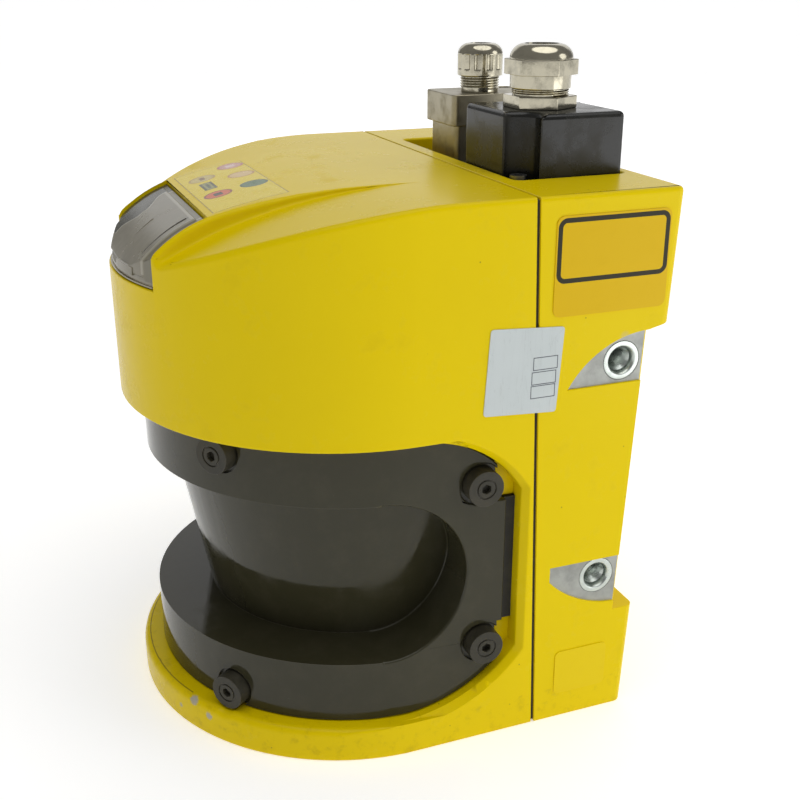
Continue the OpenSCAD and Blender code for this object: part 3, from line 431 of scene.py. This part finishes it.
def sticker_print():
    """Silvery film, slightly creased, with painted shade along the creases, and three empty boxes."""
    f = Finish("paper_print")
    crease = f.noise(9, 3, 0.6, (1, 0.25, 3), 4)
    lines = abs(crease - 0.5) < 0.006
    colour = f.mix(f.noise(14), srgb(196, 204, 204), srgb(206, 213, 213))
    # Painted shade along the creases
    colour = f.mix(lines * 0.12, colour, srgb(120, 122, 118))
    for across, up in STICKER_BOXES:
        border = f.frame_line(f.y, f.z, across, up, *STICKER_BOX_SIZE, line=0.28)
        colour = f.mix(border, colour, srgb(84, 88, 96))
    return f.surface(
        base_color=colour,
        roughness=0.4,
        specular_ior_level=0.3,
        normal=f.bump(lines * -0.3 + crease * 0.4, 0.05),
    )


def window_pane():
    """Smoke-grey plastic, with painted shade round the raised pane, over its far side and along the
    side rib, and painted highlights on the pane's edges and along the far shade's edge.
    """
    f = Finish("window_plastic")
    pane_side, pane_back = PANE_X - 1, PANE_Y - 0.8
    haze = f.noise(9, 4, 0.6).rise(0.3, 0.8)
    side = abs(f.x)
    # Painted shade: the lowered strip round the raised pane is darkened
    sunk_shade = side.rise(pane_side - 0.2, pane_side + 2)
    sunk_shade = sunk_shade.highest(f.y.rise(pane_back - 0.8, pane_back + 1))
    # Painted highlight: a pale line along the raised pane's edges
    back_rim_highlight = abs(f.y - pane_back).rise(0.8, 0.2) * (side < pane_side)
    rim = abs(side - pane_side).rise(0.9, 0.2).highest(back_rim_highlight)
    # Painted shade: a dark patch over the brow's far side, standing for the recess seen in shadow
    # through the pane
    far_shade_edge = f.x - (abs(f.y + 66.5).rise(8, 1) * 7 - 20)
    on_brow = f.z > 163
    colour = f.mix(haze, srgb(132, 126, 108), srgb(146, 140, 122))
    # Painted shade in the lowered strip round the pane
    colour = f.mix(sunk_shade * 0.8, colour, srgb(120, 116, 98))
    # Painted highlight on the pane's edges
    colour = f.mix(rim * (f.z > 160) * 0.6, colour, srgb(190, 185, 168))
    # Painted shade over the far side of the brow
    colour = f.mix(far_shade_edge.rise(0.8, -0.8) * on_brow, colour, srgb(72, 70, 56))
    # Painted highlight: a pale line along the edge of the painted shade
    colour = f.mix(abs(far_shade_edge).rise(0.6, 0.2) * on_brow * 0.7, colour, srgb(196, 192, 176))
    colour = f.mix(f.z.rise(158.4, 157.4), colour, srgb(164, 156, 134))
    # Painted shade: a dark line along the side rib
    side_rib_shade = (abs(f.x - 23.1) < 0.4) * (f.y < -58) * (f.z > 165.5)
    return f.surface(
        base_color=f.mix(side_rib_shade, colour, srgb(74, 70, 56)),
        roughness=0.2 + haze * 0.1,
        transmission_weight=0.1,
        specular_ior_level=0.3,
        normal=f.bump(f.noise(5, 2), 0.03),
    )


# ---------------------------------------------------------------- the finish of each slot

METALS = {
    "machined_zinc": {"tone": (196, 203, 197), "roughness": 0.24},
    "bolt_steel": {"tone": (150, 150, 148), "roughness": 0.32},
    "nickel": {"tone": (190, 184, 164), "roughness": 0.09, "dulling": 0.5},
    "die_cast": {"tone": (170, 163, 142), "roughness": 0.34, "grain_size": 0.5, "depth": 0.03},
    "bare_aluminium": {"tone": (178, 180, 182), "roughness": 0.36, "grain_size": 0.4, "depth": 0.02},
    "motor_steel": {
        "tone": (96, 98, 102),
        "roughness": 0.4,
        "grain_size": 0.5,
        "depth": 0.02,
        "stretch": (1, 1, 0.2),
    },
    "mirror": {"tone": (236, 238, 240), "roughness": 0.03, "dulling": 0.05},
    "brass": {"tone": (214, 176, 96), "roughness": 0.28},
}
PLASTICS = {
    "seal_rubber": {
        "tone": (30, 30, 29),
        "roughness": 0.62,
        "grain_size": 0.6,
        "depth": 0.05,
        "dust": 0.12,
        "edge_wear_and_highlight": 0.1,
    },
    "cover_plastic": {
        "tone": (54, 52, 36),
        "roughness": 0.06,
        "grain_size": 3.0,
        "depth": 0.01,
        "dust": 0.03,
        "edge_wear_and_highlight": 0.15,
        "shine": 0.3,
    },
    "screw_plastic": {"tone": (50, 48, 38), "roughness": 0.42, "dust": 0.1, "shine": 0.3},
    "black_plastic": {
        "tone": (24, 25, 23),
        "roughness": 0.2,
        "grain_size": 0.8,
        "dust": 0.04,
        "edge_wear_and_highlight": 0.65,
        "shine": 0.4,
        "edge": 0.6,
    },
    "ivory_plastic": {
        "tone": (222, 214, 190),
        "roughness": 0.4,
        "grain_size": 0.5,
        "dust": 0.1,
        "edge_wear_and_highlight": 0.0,
    },
}
CLEARS = {
    "lamp_plastic": {"tone": (214, 214, 206), "roughness": 0.3, "transmission": 0.6},
    "lens_glass": {"tone": (236, 240, 244), "roughness": 0.03, "transmission": 0.95},
}

finishes = {
    "yellow_paint": yellow_paint(),
    "window_plastic": window_pane(),
    "circuit_board": circuit_board(),
    "foil_print": status_print(),
    "amber_print": amber_print(),
    "paper_print": sticker_print(),
}
for make, looks in ((metal, METALS), (plastic, PLASTICS), (clear, CLEARS)):
    for name, look in looks.items():
        finishes[name] = make(name, **look)
bare_face = bare_casting()

slot_of = {part["node"]: part["material_slot"] for part in frame["record"]["subparts"]}
body_of = {
    node: body for body, nodes in frame["record"]["behaviour"]["bodies"].items() for node in nodes
}
for node, packed in frame["nodes"].items():
    for place in packed.material_slots:
        place.material = finishes[slot_of[node]]

# ---------------------------------------------------------------- modelling

# These keep their triangles, because a whole ring face would close its bore when its edge is rounded
KEEPS_TRIANGLES = ("large_gland_nut", "thread_inserts")


def alone(piece):
    """Selects this piece and nothing else."""
    bpy.ops.object.select_all(action="DESELECT")
    piece.select_set(True)
    bpy.context.view_layer.objects.active = piece


@contextmanager
def bench(piece):
    """Opens a piece in edit mode, with nothing selected."""
    alone(piece)
    bpy.ops.object.mode_set(mode="EDIT")
    bpy.ops.mesh.select_all(action="DESELECT")
    yield
    bpy.ops.object.mode_set(mode="OBJECT")


def middle(part):
    """The middle of an edge or a face, in millimetres."""
    points = [corner.co for corner in part.verts]
    return sum(points, Vector()) / len(points) / MM


def pick_faces(test):
    """Selects the faces of the open piece whose test is true."""
    mesh = bpy.context.object.data
    bpy.ops.mesh.select_mode(type="FACE")
    bpy.ops.mesh.select_all(action="DESELECT")
    form = bmesh.from_edit_mesh(mesh)
    for face in form.faces:
        face.select_set(bool(test(face)))
    form.select_flush_mode()
    bmesh.update_edit_mesh(mesh)


def worked(piece, kind, **settings):
    """Puts a modifier on a piece and applies it."""
    alone(piece)
    modifier = piece.modifiers.new(kind.title(), kind)
    for key, value in settings.items():
        setattr(modifier, key, value)
    bpy.ops.object.modifier_apply(modifier=modifier.name)


def tidy_normals(piece):
    """Smooth shading with flat faces kept flat."""
    alone(piece)
    bpy.ops.object.shade_smooth_by_angle(angle=math.radians(35))
    worked(piece, "WEIGHTED_NORMAL", keep_sharp=True, weight=80)


def fitted(piece, node):
    """Gives a piece the node's body and finish."""
    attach(piece, body_of[node])
    piece.data.materials.clear()
    piece.data.materials.append(finishes[slot_of[node]])


def copied(node, name):
    """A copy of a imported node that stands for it, merged, and mostly with its flat faces whole."""
    piece = bpy.data.objects.new(name, frame["nodes"][node].data.copy())
    bpy.context.collection.objects.link(piece)
    alone(piece)
    bpy.ops.mesh.customdata_custom_splitnormals_clear()
    with bench(piece):
        bpy.ops.mesh.select_all(action="SELECT")
        bpy.ops.mesh.remove_doubles(threshold=1e-6)
        if node not in KEEPS_TRIANGLES:
            bpy.ops.mesh.dissolve_limited(angle_limit=math.radians(0.6))
    fitted(piece, node)
    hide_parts(node)
    return piece


def ease(piece, widest, steps, width):
    """Rounds the sharp edges, each by the width in millimetres for its place and its turn."""
    mesh = piece.data
    weights = mesh.attributes.new("bevel_weight_edge", "FLOAT", "EDGE")
    form = bmesh.new()
    form.from_mesh(mesh)
    for edge in form.edges:
        turn = math.degrees(edge.calc_face_angle_signed(0))
        if abs(turn) > 22:
            weights.data[edge.index].value = min(width(middle(edge), turn) / widest, 1)
    form.free()
    worked(
        piece,
        "BEVEL",
        width=widest * MM,
        segments=steps,
        limit_method="WEIGHT",
        use_clamp_overlap=False,
        miter_outer="MITER_ARC" if steps > 2 else "MITER_SHARP",
    )
    mesh.attributes.remove(mesh.attributes["bevel_weight_edge"])


# ---------------------------------------------------------------- castings and optics cover

# How far the edges are rounded, in millimetres
BASE_RIM = 2.6
CROWN_EDGE = 1.7
REAR_TOP_EDGE = 1.5
COVER_EDGE = 0.9
FOOT_EDGE = 0.7
JOINT_EDGE = 0.4
NEAR = 0.1


def outside(place, reach=HALF_W - 0.2):
    """Whether a spot lies on the round front or the flat sides, at that reach or further out."""
    return abs(place.x) > reach or math.hypot(place.x, place.y - NOSE_Y) > reach


def crown_side(y):
    """Half width of the crown, which narrows to the front."""
    return 41.5 - 6 * min(max((-6 - y) / 46, 0), 1)


def crown_step(y):
    """Height of the crown over the shoulders."""
    if y < -52:
        return 5.3 + (y + 52) * 0.09
    fall = CROWN_R - math.sqrt(CROWN_R**2 - min(y, 0) ** 2)
    return SHOULDER_R - math.sqrt(SHOULDER_R**2 - min(y - SHOULDER_Y, 0) ** 2) - fall


def front_width(place, turn):
    x, y, z = place
    if z > 160 and y < 10 and abs(abs(x) - crown_side(y)) < 0.7:
        return min(CROWN_EDGE, 0.4 * crown_step(y))
    if turn < 0 or not outside(place):
        return 0
    if z < NEAR:
        return FOOT_EDGE
    if z < 20 and y > -13:
        return 0
    if BASE_TOP_Z + 0.3 < z < HOOD_Z + 0.2:
        return JOINT_EDGE
    if z < BASE_TOP_Z + 1:
        return 0.3 + (BASE_RIM - 0.3) * min(max((-12 - y) / 16, 0), 1)
    if y > 33:
        return JOINT_EDGE
    return CROWN_EDGE if z > 163 else 0.3


def rear_width(place, turn):
    x, y, z = place
    if turn < 0:
        return 0
    if z > TOP_Z - NEAR:
        if abs(x) < BAY_HALF_W and 40 < y < 80.5:
            return 0.9
        return JOINT_EDGE if y < 35 else REAR_TOP_EDGE
    if z < NEAR:
        return JOINT_EDGE if y < 41.5 else FOOT_EDGE
    if abs(x) > SEAT_X - 0.2:
        return JOINT_EDGE if y < 42 and abs(x) > HALF_W - NEAR else 0.25
    under_head = y > 76 and 140 < z < 142.3 and abs(x) < 74
    return 0.8 if under_head else 0


def cover_width(place, turn):
    in_slot = SLOT_LOW_Z - NEAR < place.z < SLOT_TOP_Z + NEAR
    if not outside(place, COVER_R - 0.4):
        at_cone = in_slot and outside(place, 53) and turn < -60
        return 0.7 if at_cone else 0
    if turn < 0:
        return 0
    return COVER_EDGE if in_slot and place.y < 17 else 0.5


def is_machined(face):
    """Whether a face of the rear casting is bare metal: a machined face or an insert's seat."""
    spot = face.center / MM
    if abs(abs(spot.x) - SEAT_X) < 0.05 and abs(face.normal.x) > 0.99:
        return True
    return abs(spot.x) > 60 and any(math.hypot(spot.y - y, spot.z - z) < 6.7 for y, z in THREADS)


front_casting = copied("front_housing", "front_casting")
ease(front_casting, BASE_RIM, 3, front_width)
rear_casting = copied("rear_housing", "rear_casting")
ease(rear_casting, REAR_TOP_EDGE, 3, rear_width)
rear_casting.data.materials.append(bare_face)
for face in rear_casting.data.polygons:
    if is_machined(face):
        face.material_index = 1
smoked_cover = copied("optics_cover", "smoked_cover")
ease(smoked_cover, COVER_EDGE, 3, cover_width)
for piece in (front_casting, rear_casting, smoked_cover):
    tidy_normals(piece)

# ---------------------------------------------------------------- screws, plugs and glands


def off_axis(place, axis):
    return math.hypot(place.x - axis.x, place.y - axis.y)


def plug_width(place, turn):
    if turn < 0:
        return 0.5 if place.z > 181 else 0
    if off_axis(place, LARGE_GLAND) < 6.5 or place.z < 181.5:
        return 0
    return 1.8 if place.z > 204.4 else 0.7


def metal_plug_width(place, turn):
    if turn < 0 or off_axis(place, SMALL_GLAND) < 5.5:
        return 0
    return 0.4 if place.z > 190 else 0


black_plug = copied("system_plug", "black_plug")
ease(black_plug, 1.8, 4, plug_width)
cast_plug = copied("metal_plug", "cast_plug")
ease(cast_plug, 0.9, 3, metal_plug_width)
for node, name, size in (
    ("cover_screws", "capped_screws", 0.3),
    ("large_gland_body", "large_gland_base", 0.35),
    ("large_gland_nut", "large_dome_nut", 0.4),
    ("small_gland_body", "small_gland_base", 0.25),
    ("small_gland_nut", "small_dome_nut", 0.3),
    ("thread_inserts", "mounting_inserts", 0.25),
):
    piece = copied(node, name)
    ease(piece, size, 2, lambda place, turn: size if turn > 40 else 0)
    tidy_normals(piece)
for piece in (black_plug, cast_plug):
    tidy_normals(piece)


def thread(name, node, start, radius, depth, pitch, turns, place, side=0):
    """A helical ridge from start along an axis: outwards where depth is above 0, and else inwards.

    The axis is upright through place, or level where side is -1 for left or 1 for right.
    """
    bpy.ops.object.select_all(action="DESELECT")
    bpy.ops.mesh.primitive_circle_add(vertices=3, radius=pitch * MM)
    ridge = bpy.context.object
    ridge.name = name
    for corner, (out, up) in zip(ridge.data.vertices, ((0, -0.5), (1, 0), (0, 0.5))):
        corner.co = Vector((radius + depth * out, 0, start + pitch * up)) * MM
    worked(ridge, "SCREW", screw_offset=pitch * MM, iterations=turns, steps=28, render_steps=28)
    with bench(ridge):
        bpy.ops.mesh.select_all(action="SELECT")
        bpy.ops.mesh.remove_doubles(threshold=1e-7)
        bpy.ops.mesh.fill_holes(sides=0)
        bpy.ops.mesh.normals_make_consistent(inside=False)
        if side:
            bpy.ops.transform.rotate(
                value=side * math.pi / 2, orient_axis="Y", center_override=(0, 0, 0)
            )
        bpy.ops.transform.translate(value=Vector(place) * MM)
    fitted(ridge, node)
    tidy_normals(ridge)


for side, side_name in ((-1, "left"), (1, "right")):
    for index, (y, z) in enumerate(THREADS):
        thread(
            f"insert_thread_{side_name}_{index}",
            "thread_inserts",
            start=-74.4,
            radius=4.05,
            depth=-0.85,
            pitch=2.0,
            turns=5,
            place=(0, y, z),
            side=side,
        )
thread(
    "small_gland_thread",
    "small_gland_body",
    start=206.4,
    radius=6.75,
    depth=0.45,
    pitch=0.9,
    turns=5,
    place=SMALL_GLAND,
)
thread(
    "large_gland_thread",
    "large_gland_body",
    start=208.7,
    radius=8.95,
    depth=0.55,
    pitch=0.65,
    turns=3,
    place=LARGE_GLAND,
)

# ---------------------------------------------------------------- the display window


def in_pane(face):
    """Whether a face of the window is in the part that stands up inside the rim."""
    spot = middle(face)
    inside = abs(spot.x) < PANE_X and spot.y < PANE_Y and spot.z > PANE_Z
    return inside and face.normal.dot((0, -0.8, 0.6)) > 0.2


window = copied("display_window", "display_cover")
with bench(window):
    for spot, across in (
        ((PANE_X, 0, 0), (1, 0, 0)),
        ((-PANE_X, 0, 0), (1, 0, 0)),
        ((0, PANE_Y, 0), (0, 1, 0)),
        ((0, 0, PANE_Z), (0, 0, 1)),
    ):
        bpy.ops.mesh.select_all(action="SELECT")
        bpy.ops.mesh.bisect(plane_co=Vector(spot) * MM, plane_no=across)
    pick_faces(in_pane)
    bpy.ops.mesh.extrude_region_shrink_fatten(TRANSFORM_OT_shrink_fatten={"value": 0.65 * MM})
    bpy.ops.transform.resize(value=(0.965, 1, 1), center_override=(0, 0, 0))
ease(window, 0.3, 2, lambda place, turn: 0.3 if abs(turn) > 25 else 0)
tidy_normals(window)


def swept(name, corners, centre, axis, start, angle, steps=12):
    """A rib of the window whose section is spun through an angle.

    The section's corners are given as across and out from centre. Angles are in degrees.
    """
    bpy.ops.object.select_all(action="DESELECT")
    bpy.ops.mesh.primitive_plane_add(size=MM)
    rib = bpy.context.object
    rib.name = name
    hub = Vector(centre) * MM
    for corner, (across, out) in zip((rib.data.vertices[i] for i in (0, 1, 3, 2)), corners):
        corner.co = Vector((across, -out, 0) if axis == "X" else (0, -out, across)) * MM + hub
    turn = {"X": (1, 0, 0), "Z": (0, 0, 1)}[axis]
    sign = -1 if axis == "X" else 1
    with bench(rib):
        bpy.ops.mesh.select_all(action="SELECT")
        bpy.ops.transform.rotate(
            value=-sign * math.radians(start), orient_axis=axis, center_override=hub
        )
        bpy.ops.mesh.spin(steps=steps, angle=-sign * math.radians(angle), center=hub, axis=turn)
        bpy.ops.mesh.select_all(action="SELECT")
        bpy.ops.mesh.normals_make_consistent(inside=False)
    worked(rib, "BEVEL", width=0.12 * MM, segments=2, limit_method="ANGLE")
    fitted(rib, "display_window")
    tidy_normals(rib)


def bar(low, high, foot, top):
    """The section of a rib: its two ends across, and its foot and top out from the centre."""
    return [(low, foot), (high, foot), (high, top), (low, top)]


swept("window_rib_middle", bar(1.3, 2.1, 45.3, 45.85), BROW, "X", 41.3, 14.8)
swept("window_rib_side", bar(22.7, 23.4, 45.3, 45.8), BROW, "X", 45.7, 20.1)
notch = [(158.6, 76.2), (161.2, 76.2), (161.2, 76.95), (158.6, 77.1)]
swept("window_notch", notch, NOSE, "Z", 6, 10.5)
swept("window_lip", bar(156.55, 157.1, 76.1, 76.9), NOSE, "Z", -25, 50, 24)

# ---------------------------------------------------------------- camera

TARGET = Vector((0, 20.6, 96.2)) * MM
AZIMUTH, ELEVATION = math.radians(68.9), math.radians(21.1)
DISTANCE = 416 * MM

camera = bpy.data.objects.new("camera", bpy.data.cameras.new("camera"))
bpy.context.collection.objects.link(camera)
back = Vector(
    (
        math.sin(AZIMUTH) * math.cos(ELEVATION),
        -math.cos(AZIMUTH) * math.cos(ELEVATION),
        math.sin(ELEVATION),
    )
)
camera.location = TARGET + back * DISTANCE
camera.rotation_euler = (-back).to_track_quat("-Z", "Y").to_euler()
camera.data.lens, camera.data.sensor_width = 49.95, 36
camera.data.clip_start, camera.data.clip_end = 0.01, 50
bpy.context.scene.camera = camera

# ---------------------------------------------------------------- floor and light


def floor_paint():
    """Plain pale floor that glows a little, so that it runs into the backdrop."""
    f = Finish("floor_paint")
    return f.surface(
        base_color=(0.93, 0.93, 0.93, 1),
        roughness=0.8 + f.noise(30) * 0.05,
        specular_ior_level=0.1,
        emission_color=(1, 1, 1, 1),
        emission_strength=0.38,
    )


bpy.ops.object.select_all(action="DESELECT")
bpy.ops.mesh.primitive_plane_add(size=60, location=(0, 0, 0))
floor = bpy.context.object
floor.name = "floor"
floor.data.materials.append(floor_paint())


def lamp(name, kind, place, energy):
    """A light at a place in metres, turned to the scanner's middle, that the camera doesn't see."""
    made = bpy.data.objects.new(name, bpy.data.lights.new(name, kind))
    bpy.context.collection.objects.link(made)
    made.location = place
    made.rotation_euler = (TARGET - Vector(place)).to_track_quat("-Z", "Y").to_euler()
    made.visible_camera = False
    made.data.energy = energy
    return made.data


def sun(name, place, energy, spread):
    """A soft light from far away, spread over that many degrees."""
    lamp(name, "SUN", place, energy).angle = math.radians(spread)


def panel(name, place, energy, width, height):
    """A rectangle of light, with its size in metres."""
    sheet = lamp(name, "AREA", place, energy)
    sheet.shape, sheet.size, sheet.size_y = "RECTANGLE", width, height


def pale_room(seen, lit):
    """A white room: its strength as the camera sees it, and as it lights the scanner."""
    world = bpy.data.worlds.new("room")
    bpy.context.scene.world = world
    world.use_nodes = True
    nodes, links = world.node_tree.nodes, world.node_tree.links
    rays = nodes.new("ShaderNodeLightPath")
    wall = nodes.new("ShaderNodeMath")
    wall.operation = "MULTIPLY_ADD"
    wall.inputs[1].default_value, wall.inputs[2].default_value = seen - lit, lit
    links.new(rays.outputs["Is Camera Ray"], wall.inputs[0])
    links.new(wall.outputs[0], nodes["Background"].inputs["Strength"])
    nodes["Background"].inputs["Color"].default_value = (1, 1, 1, 1)


sun("sky", (0.5, 0.2, 3), 1.3, 60)
sun("key", (1.5, 2.5, 0.95), 0.35, 30)
panel("side", (0.3, 0.3, 0.06), 0.28, 0.25, 0.25)
panel("glint", (-2.0, 0.9, 0.95), 9.5, 3.2, 1.4)
pale_room(seen=1.05, lit=0.25)
bpy.context.scene.view_settings.view_transform = "Standard"
